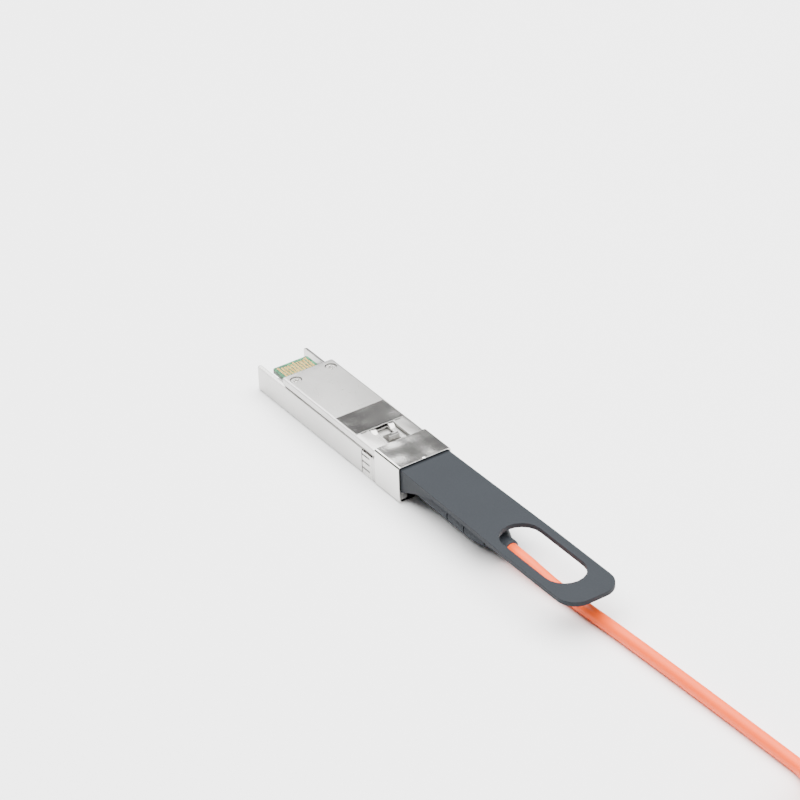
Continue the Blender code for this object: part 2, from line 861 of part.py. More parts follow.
def release_slide(prefix, slider):
    """The stamped slide: a tongue in the tab, two tines beside the latch boss, an ear on each spring."""
    half_nose = SLIDE_NOSE_WIDTH / 2
    half_tines = ACTUATOR_CAVITY / 2 - SLIDING_GAP
    start = TAB_INSERT - SLIDE_TONGUE
    neck = BODY_FRONT - SLIDE_TRAVEL / 2
    reach = SPRING_X + SPRING_OUTER
    outline = [
        (-half_nose, start),
        (half_nose, start),
        (half_nose, neck - WALL),
        (half_tines, neck),
        (half_tines, EAR_START),
        (reach, EAR_START),
        (reach, EAR_END),
        (-reach, EAR_END),
        (-reach, EAR_START),
        (-half_tines, EAR_START),
        (-half_tines, neck),
        (-half_nose, neck - WALL),
    ]
    slide = prism(prefix + "release_slide", outline, SLIDE_BOTTOM, SLIDE_TOP, "Z", SPRING_STEEL, slider)
    window = block(
        "boss window",
        (-half_tines + TINE_WIDTH, half_tines - TINE_WIDTH),
        (BOSS_SHOULDER - GAP, BAR_START),
        (0, BODY_HEIGHT),
        None,
        slider,
        True,
    )
    cut(slide, window)
    ramp_end = BAR_START
    for side in (-1, 1):
        inner = half_tines - TINE_WIDTH
        ramp = prism(
            "tine ramp",
            [
                (ramp_end - RAMP_LENGTH, SLIDE_TOP - SLIDE_SHEET / 2),
                (ramp_end, SLIDE_TOP - SLIDE_SHEET / 2),
                (ramp_end, SLIDE_TOP + RAMP_HEIGHT),
                (ramp_end - RAMP_LENGTH / 3, SLIDE_TOP + RAMP_HEIGHT),
            ],
            *sorted((side * (inner + INSET), side * (half_tines - INSET))),
            "X",
            None,
            slider,
            True,
        )
        ear = block(
            "spring ear",
            sorted((side * (SPRING_X - SPRING_OUTER), side * (SPRING_X + SPRING_OUTER - INSET))),
            (EAR_START + INSET, EAR_END - INSET),
            (SPRING_POCKET_BOTTOM + SLIDING_GAP, SLIDE_TOP - SLIDE_SHEET / 2),
            None,
            slider,
            True,
        )
        fuse(slide, ramp, ear)
    return slide


def return_spring(prefix, side, end):
    name = prefix + ("return_spring_left" if side < 0 else "return_spring_right")
    per_turn = 9
    count = SPRING_TURNS * per_turn
    rise = SPRING_LENGTH - 2 * SPRING_WIRE
    points = []
    for i in range(count + 1):
        angle = side * 2 * math.pi * i / per_turn
        y = SPRING_START + SPRING_WIRE + rise * i / count
        x = side * SPRING_X + SPRING_RADIUS * math.cos(angle)
        points.append((x, y, SPRING_Z + SPRING_RADIUS * math.sin(angle)))
    return wire(name, points, SPRING_WIRE, SPRING_STEEL, end, 1)


def slide_retainer(prefix, end):
    """The thin plate that keeps the slide and its springs in the cover."""
    half = BODY_WIDTH / 2 - WALL / 2 - SEAT_GAP
    return block(
        prefix + "slide_retainer",
        (-half, half),
        (BAR_START + GAP, CHANNEL_END + 2 * WALL - SEAT_GAP),
        (RETAINER_BOTTOM, RETAINER_TOP),
        NICKEL,
        end,
    )


# ---------------------------------------------------------------- cable entry


def ellipse(y, half_width, half_height, sides=24):
    """A ring round the boot's axis, which droops from the nose to its end."""
    turn = [2 * math.pi * i / sides for i in range(sides)]
    axis_z = BOOT_AXIS_Z - BOOT_DROOP * max(0.0, -y / BOOT_REACH)
    return [(half_width * math.cos(a), y, axis_z + half_height * math.sin(a)) for a in turn]


def boot_ring(y):
    """The boot's outline at a distance out of the nose: oval at the collar, and round at its end."""
    t = (y - BOOT_COLLAR) / (BOOT_REACH - BOOT_TIP - BOOT_COLLAR)
    full = 1 - min(1.0, max(0.0, t)) ** BOOT_TAPER
    half_width = BOOT_END_RADIUS + (BOOT_HALF_WIDTH - BOOT_END_RADIUS) * full
    return ellipse(-y, half_width, BOOT_END_RADIUS + (BOOT_HALF_HEIGHT - BOOT_END_RADIUS) * full)


def strain_relief_boot(prefix, end):
    """The boot: a flange behind the anchor wall, an oval collar, and a slit taper down to the cable."""
    rounding = GAP
    collar_start = ANCHOR_START - GAP
    rings = [
        ellipse(FLANGE_END, BOOT_FLANGE_WIDTH, BOOT_FLANGE_HEIGHT),
        ellipse(FLANGE_START, BOOT_FLANGE_WIDTH, BOOT_FLANGE_HEIGHT),
        ellipse(FLANGE_START, BOOT_NECK_WIDTH, BOOT_NECK_HEIGHT),
        ellipse(collar_start, BOOT_NECK_WIDTH, BOOT_NECK_HEIGHT),
        ellipse(collar_start, BOOT_HALF_WIDTH - rounding, BOOT_HALF_HEIGHT - rounding),
        ellipse(collar_start - rounding, BOOT_HALF_WIDTH, BOOT_HALF_HEIGHT),
    ]
    steps = 6
    taper = BOOT_REACH - BOOT_COLLAR - rounding
    for i in range(steps + 1):
        y = BOOT_COLLAR + taper * i / steps
        rings.append(boot_ring(y))
    end_radius = BOOT_END_RADIUS - rounding
    rings.append(ellipse(-BOOT_REACH, end_radius, end_radius))
    boot = loft(prefix + "strain_relief_boot", rings, BOOT_RUBBER, end)
    for i in range(BOOT_SLITS):
        middle = -(BOOT_SLIT_START + BOOT_SLIT_PITCH * i)
        along = (middle - BOOT_SLIT / 2, middle + BOOT_SLIT / 2)
        for side in (-1, 1):
            away = sorted((side * BOOT_SPINE, side * 2 * BOOT_HALF_WIDTH))
            full = (-2 * BOOT_HALF_WIDTH, 2 * BOOT_HALF_WIDTH)
            x, z = (away, full) if i % 2 == 0 else (full, away)
            z = [BOOT_AXIS_Z + BOOT_DROOP * middle / BOOT_REACH + value for value in z]
            cut(boot, block("boot slit", x, along, z, None, end, True))
    return boot


def cable_clamp(end):
    """The clamp that closes the anchor's pocket over the crimp."""
    clamp = block(
        "cable_clamp",
        (-POCKET_HALF + SLIDING_GAP, POCKET_HALF - SLIDING_GAP),
        (FLANGE_START, ANCHOR_END - SLIDING_GAP),
        (BOOT_AXIS_Z + GAP, ANCHOR_TOP - SEAT_GAP),
        CAST_NICKEL,
        end,
    )
    crimp_way = cylinder(
        "crimp way",
        CRIMP_RADIUS + SLIDING_GAP,
        (0, ANCHOR_END, BOOT_AXIS_Z),
        2 * (ANCHOR_END - CRIMP_START + SLIDING_GAP),
        "Y",
        24,
        None,
        end,
        True,
    )
    flange_way = cylinder(
        "flange way",
        1.0,
        (0, FLANGE_START, BOOT_AXIS_Z),
        2 * (BOOT_FLANGE + SLIDING_GAP),
        "Y",
        24,
        None,
        end,
        True,
    )
    flange_way.scale = (BOOT_FLANGE_WIDTH + SLIDING_GAP, BOOT_FLANGE_HEIGHT + SLIDING_GAP, 1)
    cut(clamp, crimp_way, flange_way)
    return clamp


def crimp_ring(end):
    """The crimped tube that grips the cable's strength members."""
    groove = CRIMP_RADIUS * 0.86
    bore = FIBRE_SPREAD / 2 + FIBRE + SLIDING_GAP
    profile = [(bore, CRIMP_LENGTH), (CRIMP_RADIUS, CRIMP_LENGTH)]
    ridges = 3
    pitch = CRIMP_LENGTH / (2 * ridges + 1)
    for i in range(ridges):
        top = CRIMP_LENGTH - pitch * (2 * i + 1)
        profile += [(CRIMP_RADIUS, top), (groove, top), (groove, top - pitch), (CRIMP_RADIUS, top - pitch)]
    profile += [(CRIMP_RADIUS, 0), (bore, 0)]
    ring = turned("crimp_ring", profile, GOLD, end, 20)
    ring.location = (0, CRIMP_END, BOOT_AXIS_Z)
    ring.rotation_euler = (math.pi / 2, 0, 0)
    return ring


def fibre(name, side, end):
    """One buffered fibre, from the crimp to the ferrule."""
    start = Vector((side * FIBRE_SPREAD / 2, FLANGE_END + GAP, BOOT_AXIS_Z))
    finish = Vector((side * CHIP_X, FERRULE_START - GAP, FERRULE_Z))
    points = []
    steps = 12
    for i in range(steps + 1):
        t = i / steps
        ease = t * t * (3 - 2 * t)
        point = start.lerp(finish, t)
        point.x = start.x + (finish.x - start.x) * ease
        point.z = start.z + (finish.z - start.z) * ease
        points.append(point)
    return wire(name, points, FIBRE, FIBRE_WHITE, end)


# ---------------------------------------------------------------- board and optics


def main_board(prefix, end):
    """The board, stepped in to the card edge, with a notch at each screw."""
    half = BOARD_WIDTH / 2
    half_edge = CARD_EDGE_WIDTH / 2
    bevel = BOARD_THICKNESS / 3
    outline = [
        (-half, BOARD_START),
        (half, BOARD_START),
        (half, CARD_EDGE_START - bevel),
        (half - bevel, CARD_EDGE_START),
        (half_edge, CARD_EDGE_START),
        (half_edge, BOARD_END - bevel),
        (half_edge - bevel, BOARD_END),
        (-half_edge + bevel, BOARD_END),
        (-half_edge, BOARD_END - bevel),
        (-half_edge, CARD_EDGE_START),
        (-half + bevel, CARD_EDGE_START),
        (-half, CARD_EDGE_START - bevel),
    ]
    board = prism(prefix + "main_board", outline, BOARD_BOTTOM, BOARD_TOP, "Z", BOARD_GREEN, end)
    for side in (-1, 1):
        notch = cylinder(
            "screw notch",
            SCREW_SHANK + GAP,
            (side * SCREW_X, SCREW_Y, BOARD_TOP),
            4 * BOARD_THICKNESS,
            "Z",
            16,
            None,
            end,
            True,
        )
        cut(board, notch)
    return board


def lens_block(end):
    """The moulded lens block over the chips, with its pocket towards the board."""
    made = block(
        "lens_block",
        (-LENS_WIDTH / 2, LENS_WIDTH / 2),
        (LENS_START, LENS_START + LENS_LENGTH),
        (LENS_BOTTOM, LENS_TOP),
        AMBER,
        end,
    )
    turning = block(
        "turning mirror",
        (-LENS_WIDTH / 3, LENS_WIDTH / 3),
        (LENS_START + LENS_LENGTH * 0.4, LENS_START + LENS_LENGTH * 0.7),
        (LENS_BOTTOM - WALL, LENS_BOTTOM + LENS_HEIGHT * 0.35),
        None,
        end,
        True,
    )
    margin = GAP
    pocket = block(
        "chip pocket",
        (-CHIP_X - CHIP / 2 - margin, CHIP_X + CHIP / 2 + margin),
        (LENS_START + WALL, LENS_START + LENS_LENGTH - WALL),
        (LENS_TOP - CHIP_HEIGHT - 2 * margin, LENS_TOP + WALL),
        None,
        end,
        True,
    )
    cut(made, turning, pocket)
    return made


def chip(name, x, y, size, height, finish, end):
    """A chip or a package bonded to the board's label side."""
    top = BOARD_BOTTOM - SEAT_GAP
    half = size / 2
    return block(name, (x - half, x + half), (y - half, y + half), (top - height, top), finish, end)


def fibre_ferrule(end):
    """The ferrule that holds both fibres against the lens block."""
    ferrule = block(
        "fibre_ferrule",
        (-FERRULE_WIDTH / 2, FERRULE_WIDTH / 2),
        (FERRULE_START, FERRULE_END),
        (FERRULE_Z - FERRULE_HEIGHT / 2, FERRULE_Z + FERRULE_HEIGHT / 2),
        CHIP_BLACK,
        end,
    )
    soften(ferrule, GAP)
    return ferrule


def ferrule_clip(end):
    """The sprung clip that presses the ferrule to the lens block."""
    half = LENS_WIDTH / 2 + SLIDING_GAP + CLIP_SHEET
    top = LENS_BOTTOM - SLIDING_GAP
    clip = channel(
        "ferrule_clip",
        half,
        top - CLIP_SHEET,
        FERRULE_Z,
        CLIP_SHEET,
        FERRULE_START + SLIDING_GAP,
        LENS_START + LENS_LENGTH - SLIDING_GAP,
        SPRING_STEEL,
        end,
        False,
    )
    window = block(
        "clip window",
        (-LENS_WIDTH / 4, LENS_WIDTH / 4),
        (FERRULE_START + WALL, FERRULE_END - WALL),
        (0, FERRULE_Z),
        None,
        end,
        True,
    )
    cut(clip, window)
    return clip


def thermal_pad(end):
    half = DRIVER_SIZE / 2 - GAP
    along = (DRIVER_Y - half, DRIVER_Y + half)
    return block("thermal_pad", (-half, half), along, (PAD_BOTTOM, PAD_TOP), PAD_GREY, end)


# ---------------------------------------------------------------- fasteners and trim


def cover_screw(prefix, side, end):
    """A countersunk screw with a cross recess."""
    name = prefix + ("cover_screw_left" if side < 0 else "cover_screw_right")
    top = BODY_HEIGHT - GAP
    chamfer = SCREW_SHANK / 3
    profile = [
        (0, 0),
        (SCREW_HEAD, 0),
        (SCREW_HEAD, -SCREW_HEAD_HEIGHT / 2),
        (SCREW_SHANK, -SCREW_HEAD_HEIGHT),
        (SCREW_SHANK, chamfer - SCREW_LENGTH),
        (SCREW_SHANK - chamfer, -SCREW_LENGTH),
        (0, -SCREW_LENGTH),
    ]
    screw = turned(name, profile, SPRING_STEEL, end, 16)
    screw.location = (side * SCREW_X, SCREW_Y, top)
    half_slot = SCREW_HEAD / 7
    for long_x in (True, False):
        long_half = SCREW_HEAD * 0.6
        x, y = (long_half, half_slot) if long_x else (half_slot, long_half)
        recess = block(
            "cross recess",
            (side * SCREW_X - x, side * SCREW_X + x),
            (SCREW_Y - y, SCREW_Y + y),
            (top - SCREW_HEAD_HEIGHT / 2, top + WALL),
            None,
            end,
            True,
        )
        cut(screw, recess)
    return screw


def id_label(prefix, end):
    """The blank label in its recess on the label side."""
    return block(
        prefix + "id_label",
        (-LABEL_WIDTH / 2, LABEL_WIDTH / 2),
        (LABEL_START, LABEL_START + LABEL_LENGTH),
        (LABEL_RECESS - SEAT_GAP - LABEL_SHEET, LABEL_RECESS - SEAT_GAP),
        LABEL_WHITE,
        end,
    )


# ---------------------------------------------------------------- cable


def smooth(points, spacing):
    """Points at about the spacing along a Catmull-Rom curve through the given points."""
    padded = [points[0] * 2 - points[1]] + points + [points[-1] * 2 - points[-2]]
    out = [points[0]]
    for p0, p1, p2, p3 in zip(padded, padded[1:], padded[2:], padded[3:]):
        steps = max(1, round((p2 - p1).length / spacing))
        for i in range(1, steps + 1):
            t = i / steps
            out.append(
                p1
                + (p2 - p0) * t / 2
                + (2 * p0 - 5 * p1 + 4 * p2 - p3) * t**2 / 2
                + (3 * p1 - p0 - 3 * p2 + p3) * t**3 / 2
            )
    return out


def cable(name, run, end):
    start = Vector((0, -BOOT_REACH, 0))
    route = [start + Vector(point) * MM for point in run]
    return wire(name, smooth(route, 5 * CABLE_RADIUS), CABLE_RADIUS, ORANGE, end)


def cable_hank(end):
    """The outer shape of the folded cable, with round ends."""
    outline = [
        (HANK_X + x, y) for x, y in slot_outline(HANK_WIDTH / 2, -HANK_END, -HANK_START, 14)
    ]
    return prism("cable_hank", outline, HANK_LIFT, HANK_TOP, "Z", ORANGE, end)


def hank_tie(end):
    """The strap round the middle of the folded cable."""
    inner_half = HANK_WIDTH / 2 + TIE_GAP
    inner_low = HANK_LIFT - TIE_GAP
    inner_high = HANK_TOP + TIE_GAP
    middle = -(HANK_START + HANK_END) / 2
    along = (middle - TIE_WIDTH / 2, middle + TIE_WIDTH / 2)
    strap = block(
        "hank_tie",
        (HANK_X - inner_half - TIE_BAND, HANK_X + inner_half + TIE_BAND),
        along,
        (inner_low - TIE_BAND, inner_high + TIE_BAND),
        TIE_BLACK,
        end,
    )
    inside = block(
        "tie inside",
        (HANK_X - inner_half, HANK_X + inner_half),
        (along[0] - WALL, along[1] + WALL),
        (inner_low, inner_high),
        None,
        end,
        True,
    )
    cut(strap, inside)
    return strap


# ---------------------------------------------------------------- assembly


def outer_pieces(prefix, end):
    """What both transceivers are made of outside."""
    slider = empty(prefix + "slider", (0, 0, 0), 0.0, end)
    lower_housing(prefix, end)
    latch_cover(prefix, end)
    nose_sleeve(prefix, end)
    contact_collar(prefix, end)
    pull_tab(prefix, slider)
    release_slide(prefix, slider)
    slide_retainer(prefix, end)
    strain_relief_boot(prefix, end)
    main_board(prefix, end)
    for side in (-1, 1):
        return_spring(prefix, side, end)
        cover_screw(prefix, side, end)


def inner_pieces(end):
    """What the near transceiver holds inside."""
    cable_clamp(end)
    crimp_ring(end)
    fibre("transmit_fibre", -1, end)
    fibre("receive_fibre", 1, end)
    fibre_ferrule(end)
    ferrule_clip(end)
    lens_block(end)
    chip_y = LENS_START + LENS_LENGTH / 2
    chip("laser_chip", -CHIP_X, chip_y, CHIP, CHIP_HEIGHT, GOLD, end)
    chip("photodiode_chip", CHIP_X, chip_y, CHIP, CHIP_HEIGHT, GOLD, end)
    chip("driver_chip", 0, DRIVER_Y, DRIVER_SIZE, DRIVER_HEIGHT, CHIP_BLACK, end)
    chip("microcontroller", 0, CONTROLLER_Y, CONTROLLER_SIZE, CONTROLLER_HEIGHT, CHIP_BLACK, end)
    thermal_pad(end)
    id_label("", end)


near = empty("near_end", (0, -CENTRE_Y, 0))
far = empty("far_end", (FAR_X, -CENTRE_Y - FAR_NOSE, 0), math.pi)
outer_pieces("", near)
inner_pieces(near)
outer_pieces("far_", far)
cable("cable", CABLE_RUN, near)
cable("far_cable", FAR_CABLE_RUN, far)
cable_hank(near)
hank_tie(near)
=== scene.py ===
import json
import math

import bmesh
import bpy
from mathutils import Matrix, Vector


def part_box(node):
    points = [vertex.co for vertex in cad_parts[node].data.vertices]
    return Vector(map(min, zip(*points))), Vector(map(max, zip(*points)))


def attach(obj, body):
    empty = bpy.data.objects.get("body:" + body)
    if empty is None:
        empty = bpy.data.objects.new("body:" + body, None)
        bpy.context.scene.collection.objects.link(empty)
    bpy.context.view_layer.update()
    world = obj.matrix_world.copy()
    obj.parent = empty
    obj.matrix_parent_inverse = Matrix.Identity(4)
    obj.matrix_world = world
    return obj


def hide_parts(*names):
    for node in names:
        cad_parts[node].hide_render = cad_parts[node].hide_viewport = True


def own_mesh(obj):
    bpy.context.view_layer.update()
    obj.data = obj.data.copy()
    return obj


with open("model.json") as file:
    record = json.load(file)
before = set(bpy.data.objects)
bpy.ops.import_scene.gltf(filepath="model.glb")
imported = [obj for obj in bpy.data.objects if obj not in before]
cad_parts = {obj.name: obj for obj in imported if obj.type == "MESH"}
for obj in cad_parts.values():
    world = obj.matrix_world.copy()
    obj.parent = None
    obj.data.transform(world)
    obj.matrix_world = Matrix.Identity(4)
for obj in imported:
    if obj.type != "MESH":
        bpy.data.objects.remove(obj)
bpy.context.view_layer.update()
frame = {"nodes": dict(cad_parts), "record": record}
nodes = frame["nodes"]

MM = 0.001
NOSE_Y = 2.4 * MM  # the near nose rim, which the cable's points are measured from

# Gold contacts on each face of a card edge
PADS = 10
PAD_PITCH = 0.8 * MM
PAD_TIP = 0.95 * MM  # from the board's tip to their near ends
PAD_BACK = 4.9 * MM


# ---------------------------------------------------------------- camera

# Fitted to the photo: where the camera stands, and its own right, up and back directions
CAMERA_PLACE = (-0.364953, -0.54275, 0.450051)
CAMERA_RIGHT = (0.8245, -0.56515, -0.02834)
CAMERA_UP = (0.32764, 0.43596, 0.83821)
CAMERA_BACK = (-0.46136, -0.70039, 0.54461)

camera = bpy.data.objects.new("Camera", bpy.data.cameras.new("Camera"))
bpy.context.scene.collection.objects.link(camera)
bpy.context.scene.camera = camera
camera.data.lens = 166.44
camera.data.sensor_width = 36.0
camera.data.clip_start = 0.01
camera.data.clip_end = 50.0
turned = Matrix((CAMERA_RIGHT, CAMERA_UP, CAMERA_BACK)).transposed()
camera.matrix_world = Matrix.Translation(CAMERA_PLACE) @ turned.to_4x4()


# ---------------------------------------------------------------- materials

SHADER_INPUTS = {
    "colour": "Base Color",
    "rough": "Roughness",
    "metal": "Metallic",
    "coat": "Coat Weight",
    "coat_rough": "Coat Roughness",
    "specular": "Specular IOR Level",
    "sheen": "Sheen Weight",
    "sheen_rough": "Sheen Roughness",
    "transmission": "Transmission Weight",
}


class Shade:
    """A node material under construction."""

    def __init__(self, name):
        self.material = bpy.data.materials.new(name)
        self.material.use_nodes = True
        self.tree = self.material.node_tree
        self.shader = self.tree.nodes["Principled BSDF"]
        self.where = self.add("ShaderNodeTexCoord").outputs["Object"]

    def add(self, kind, **settings):
        node = self.tree.nodes.new(kind)
        for key, value in settings.items():
            setattr(node, key, value)
        return node

    def link(self, source, target):
        self.tree.links.new(source, target)

    def stretch(self, scale):
        node = self.add("ShaderNodeMapping")
        node.inputs["Scale"].default_value = scale
        self.link(self.where, node.inputs["Vector"])
        return node.outputs["Vector"]

    def noise(self, scale, detail=3.0, rough=0.55, vector=None):
        node = self.add("ShaderNodeTexNoise")
        node.inputs["Scale"].default_value = scale
        node.inputs["Detail"].default_value = detail
        node.inputs["Roughness"].default_value = rough
        self.link(vector or self.where, node.inputs["Vector"])
        return node.outputs["Fac"]

    def cells(self, scale, feature="F1"):
        node = self.add("ShaderNodeTexVoronoi", feature=feature)
        node.inputs["Scale"].default_value = scale
        self.link(self.where, node.inputs["Vector"])
        return node.outputs["Distance"]

    def ramp(self, factor, stops):
        node = self.add("ShaderNodeValToRGB")
        elements = node.color_ramp.elements
        while len(elements) < len(stops):
            elements.new(0.5)
        for element, (position, colour) in zip(elements, stops):
            element.position = position
            element.color = (*colour, 1)
        self.link(factor, node.inputs["Fac"])
        return node.outputs["Color"]

    def span(self, factor, low, high):
        node = self.add("ShaderNodeMapRange")
        node.inputs["To Min"].default_value = low
        node.inputs["To Max"].default_value = high
        self.link(factor, node.inputs["Value"])
        return node.outputs["Result"]

    def mix(self, factor, first, second):
        node = self.add("ShaderNodeMix", data_type="RGBA")
        for index, value in ((0, factor), (6, first), (7, second)):
            if isinstance(value, bpy.types.NodeSocket):
                self.link(value, node.inputs[index])
            elif index == 0:
                node.inputs[index].default_value = value
            else:
                node.inputs[index].default_value = (*value, 1)
        return node.outputs[2]

    def math(self, operation, first, second=0.0):
        node = self.add("ShaderNodeMath", operation=operation)
        for index, value in enumerate((first, second)):
            if isinstance(value, bpy.types.NodeSocket):
                self.link(value, node.inputs[index])
            else:
                node.inputs[index].default_value = value
        return node.outputs[0]

    def axis(self, name):
        """The object's own X, Y or Z at the point that is shaded, in metres."""
        node = self.add("ShaderNodeSeparateXYZ")
        self.link(self.where, node.inputs["Vector"])
        return node.outputs[name]

    def bump(self, height, distance, strength=1.0):
        node = self.add("ShaderNodeBump")
        node.inputs["Strength"].default_value = strength
        node.inputs["Distance"].default_value = distance
        self.link(height, node.inputs["Height"])
        self.link(node.outputs["Normal"], self.shader.inputs["Normal"])

    def set(self, **values):
        for key, value in values.items():
            socket = self.shader.inputs[SHADER_INPUTS[key]]
            if isinstance(value, bpy.types.NodeSocket):
                self.link(value, socket)
            else:
                socket.default_value = value


def metal(name, dark, light, rough_low, rough_high, grain, bump, streaks=None, wave=0.0):
    """Plated metal: a slow change of tone, a finer change of polish, a grain, and the sheet's waves."""
    shade = Shade(name)
    vector = shade.stretch(streaks) if streaks else None
    slow = shade.noise(140, 2.0)
    fine = shade.noise(grain, 4.0, 0.6, vector)
    smears = shade.span(shade.noise(420, 3.0, 0.7), -0.03, 0.05)
    polish = shade.span(fine, rough_low, rough_high)
    shade.set(colour=shade.mix(slow, dark, light), metal=1.0, rough=shade.math("ADD", polish, smears))
    relief = shade.math("MULTIPLY", fine, bump * 0.5)
    waves = shade.math("MULTIPLY", shade.noise(95, 1.0), wave)
    shade.bump(shade.math("ADD", relief, waves), 1.0)
    return shade.material


def moulded(name, dark, light, rough, grain, bump, specular=0.5):
    """Moulded plastic or rubber with a fine texture and a slight change of tone."""
    shade = Shade(name)
    slow = shade.noise(90, 2.0)
    fine = shade.noise(grain, 3.0, 0.6)
    pits = shade.cells(grain * 0.7)
    shade.set(
        colour=shade.mix(slow, dark, light),
        rough=shade.span(fine, rough - 0.06, rough + 0.08),
        specular=specular,
    )
    shade.bump(shade.math("ADD", fine, shade.math("MULTIPLY", pits, 0.6)), bump, 0.6)
    return shade.material


def jacket():
    """The cable's orange jacket, with the faint mottle of its extrusion."""
    shade = Shade("orange jacket")
    slow = shade.noise(70, 2.0)
    mottle = shade.noise(1500, 3.0, 0.65)
    tone = shade.mix(slow, (0.82, 0.075, 0.004), (0.88, 0.1, 0.008))
    shade.set(
        colour=shade.mix(shade.span(mottle, 0.0, 0.3), tone, (0.92, 0.13, 0.016)),
        rough=shade.span(mottle, 0.38, 0.55),
        specular=0.3,
    )
    shade.bump(mottle, 0.00004, 0.6)
    return shade.material


def drawn_contacts(shade, tip, middle):
    """A mask that is 1 on a row of card-edge contacts. The card's tip is its lowest y, and middle is the
    row's x."""
    depth = shade.math("SUBTRACT", shade.axis("Y"), tip)
    across = shade.math("DIVIDE", shade.math("SUBTRACT", shade.axis("X"), middle), PAD_PITCH)
    place = shade.math("FRACT", across)
    limits = [
        shade.math("GREATER_THAN", place, 0.15),
        shade.math("LESS_THAN", place, 0.85),
        shade.math("LESS_THAN", shade.math("ABSOLUTE", across), PADS / 2),
        shade.math("GREATER_THAN", depth, PAD_TIP),
        shade.math("LESS_THAN", depth, PAD_BACK),
    ]
    mask = limits[0]
    for limit in limits[1:]:
        mask = shade.math("MULTIPLY", mask, limit)
    return mask


def board(name, contacts=None):
    """Green solder mask over copper tracks and woven glass, with gold contacts drawn at the tip and middle
    that contacts gives."""
    shade = Shade(name)
    weave = shade.add("ShaderNodeTexWave", wave_type="BANDS")
    weave.inputs["Scale"].default_value = 900
    weave.inputs["Distortion"].default_value = 1.5
    shade.link(shade.where, weave.inputs["Vector"])
    tracks = shade.cells(620, "DISTANCE_TO_EDGE")
    copper = shade.ramp(tracks, [(0.0, (1, 1, 1)), (0.05, (1, 1, 1)), (0.075, (0, 0, 0))])
    mask = shade.mix(shade.noise(300), (0.008, 0.075, 0.03), (0.014, 0.11, 0.045))
    colour = shade.mix(copper, mask, (0.03, 0.2, 0.08))
    shade.set(colour=colour, rough=0.32, coat=0.5, coat_rough=0.15)
    if contacts:
        gold = drawn_contacts(shade, *contacts)
        shade.set(colour=shade.mix(gold, colour, (0.9, 0.62, 0.24)), metal=gold)
    relief = shade.math("MULTIPLY", weave.outputs["Fac"], 0.3)
    shade.bump(shade.math("ADD", relief, copper), 0.00002, 0.5)
    return shade.material


def resin():
    """Clear amber optical resin."""
    shade = Shade("amber optic")
    shade.set(
        colour=shade.mix(shade.noise(400), (0.72, 0.27, 0.03), (0.86, 0.42, 0.08)),
        rough=shade.span(shade.noise(1200), 0.08, 0.18),
        transmission=0.6,
        coat=0.4,
    )
    return shade.material


def paper():
    """The blank label's film."""
    shade = Shade("label film")
    fibres = shade.noise(2600, 5.0, 0.7)
    film = shade.mix(fibres, (0.8, 0.8, 0.78), (0.88, 0.88, 0.86))
    shade.set(colour=film, rough=0.48, coat=0.2, coat_rough=0.35)
    shade.bump(fibres, 0.00001, 0.4)
    return shade.material


def strap():
    """Hook-and-loop strap: a nap of tiny loops."""
    shade = Shade("strap nap")
    loops = shade.noise(5200, 4.0, 0.75)
    rows = shade.cells(2600)
    shade.set(
        colour=shade.mix(loops, (0.008, 0.008, 0.009), (0.05, 0.05, 0.054)),
        rough=0.92,
        sheen=0.5,
        sheen_rough=0.4,
    )
    shade.bump(shade.math("ADD", loops, rows), 0.00012, 0.9)
    return shade.material


def floor_finish():
    """The white sweep of a studio."""
    shade = Shade("studio floor")
    grain = shade.noise(260, 4.0)
    wide = shade.noise(3.0, 2.0)
    shade.set(
        colour=shade.mix(wide, (0.95, 0.95, 0.95), (0.97, 0.97, 0.97)),
        rough=shade.span(grain, 0.62, 0.75),
        specular=0.25,
    )
    shade.bump(grain, 0.00002, 0.2)
    return shade.material


# metal takes the dark and light tone, the least and most roughness, the grain's scale and its height;
# moulded takes the two tones, the roughness, the grain's scale and height, and the specular level.
FINISHES = {
    "cast_nickel": metal(
        "cast nickel", (0.46, 0.455, 0.44), (0.56, 0.55, 0.535), 0.22, 0.36, 2400, 0.00002
    ),
    "bright_nickel": metal(
        "bright nickel", (0.6, 0.59, 0.57), (0.68, 0.67, 0.65), 0.05, 0.13, 1100, 0.000006,
        streaks=(1, 9, 1), wave=0.00035,
    ),
    "spring_steel": metal(
        "spring steel", (0.52, 0.51, 0.49), (0.63, 0.62, 0.6), 0.2, 0.32, 1500, 0.00001, streaks=(8, 1, 1)
    ),
    "slate_plastic": moulded(
        "slate plastic", (0.0175, 0.02, 0.0235), (0.0205, 0.0235, 0.0275), 0.55, 3200, 0.00003, 0.1
    ),
    "boot_rubber": moulded(
        "boot rubber", (0.03, 0.034, 0.04), (0.038, 0.043, 0.05), 0.6, 2600, 0.00004, 0.15
    ),
    "orange_jacket": jacket(),
    "board": board("board green"),
    "chip_black": moulded(
        "chip black", (0.012, 0.012, 0.013), (0.022, 0.022, 0.024), 0.45, 4200, 0.00003
    ),
    "gold": metal("gold plate", (0.86, 0.56, 0.19), (0.95, 0.68, 0.3), 0.16, 0.28, 1800, 0.000008),
    "amber_optic": resin(),
    "fibre_buffer": moulded(
        "fibre buffer", (0.78, 0.78, 0.76), (0.86, 0.86, 0.84), 0.38, 2000, 0.00001
    ),
    "thermal_pad": moulded(
        "thermal pad", (0.36, 0.42, 0.48), (0.44, 0.5, 0.56), 0.8, 1600, 0.00005, 0.3
    ),
    "label": paper(),
    "tie": strap(),
}


# ---------------------------------------------------------------- CAD nodes: finishes and edges

SLOT_OF = {part["node"]: part["material_slot"] for part in frame["record"]["subparts"]}


def dress(obj, finish):
    """Gives the object this one material."""
    obj.data.materials.clear()
    obj.data.materials.append(finish)


